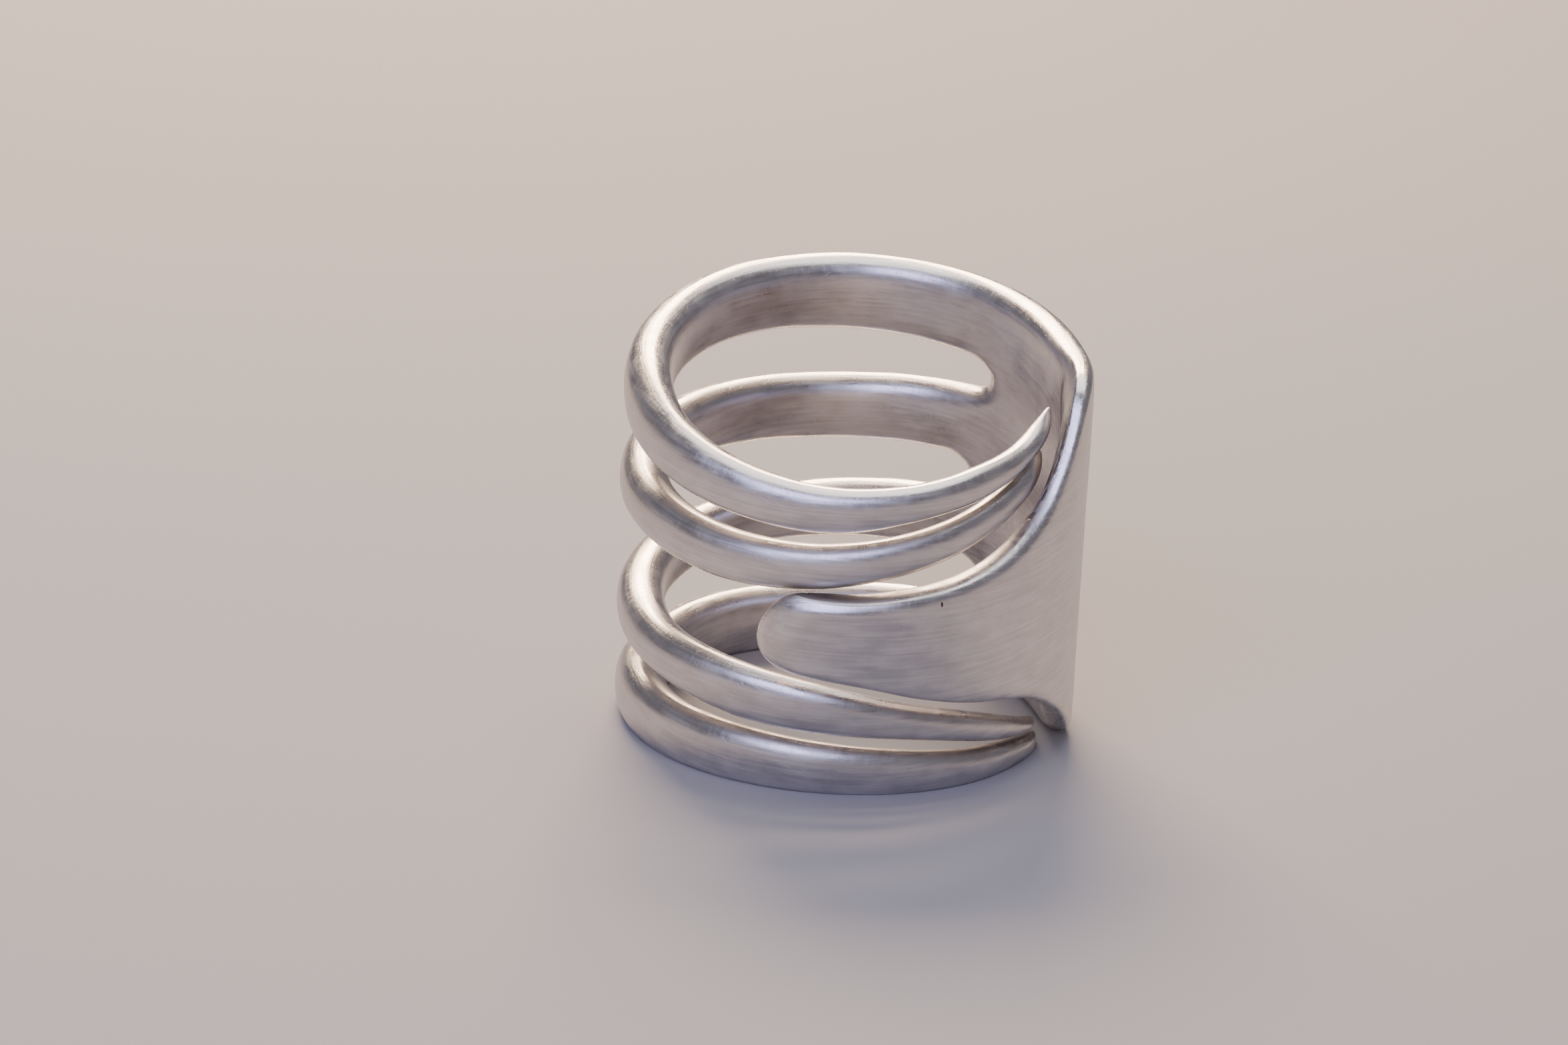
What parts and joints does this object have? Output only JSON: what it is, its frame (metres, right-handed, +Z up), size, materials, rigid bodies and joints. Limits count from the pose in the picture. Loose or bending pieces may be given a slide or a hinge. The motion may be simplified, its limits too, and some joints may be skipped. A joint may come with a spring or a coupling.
{
  "type": "fork ring",
  "caption": "Finger ring made from the head of a table fork, with the tines wrapped round the finger above and below the neck.",
  "frame": {"origin": "middle of the ring's box, on the table that it stands on", "axes": "+Z up from the table, +X to the blade, -Y to the cut neck; the finger's axis leans 9 degrees from +Z towards -Y"},
  "size_m": [0.0218, 0.0238, 0.0208],
  "materials": {
    "silver": "worn satin silver"
  },
  "bodies": {
    "root": {"fork_band": "silver"}
  },
  "joints": []
}
